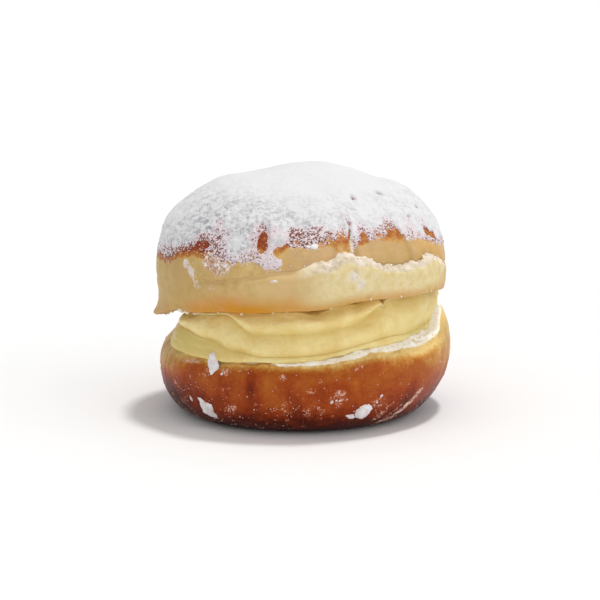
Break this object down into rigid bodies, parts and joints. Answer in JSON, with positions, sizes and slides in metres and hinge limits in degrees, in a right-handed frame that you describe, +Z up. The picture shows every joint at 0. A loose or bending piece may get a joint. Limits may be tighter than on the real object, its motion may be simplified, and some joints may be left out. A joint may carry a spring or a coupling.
{
  "type": "cream-filled doughnut",
  "caption": "Round fried bun, cut open and gaping at the front, with folds of custard between its halves and a coat of icing sugar on the dome.",
  "frame": {"origin": "middle of the flat foot that the doughnut rests on", "axes": "+Z up; -Y towards the gaping front that shows the filling; +X to the right seen from the front"},
  "size_m": [0.1015, 0.1007, 0.0832],
  "materials": {
    "lower_crust": "deep golden-brown fried crust, slightly shiny, paler and tan near the cut, with specks of sugar",
    "custard": "pale yellow set custard, smooth and softly shiny",
    "lid_crust": "pale tan band of dough with a torn cream-coloured ledge and golden lower edge, browned above",
    "icing_sugar": "thick white icing sugar, powdery and matte, thin and speckled towards its edge"
  },
  "bodies": {
    "root": {"bun_base": "lower_crust", "custard": "custard", "bun_lid": "lid_crust", "icing_sugar": "icing_sugar"}
  },
  "joints": []
}
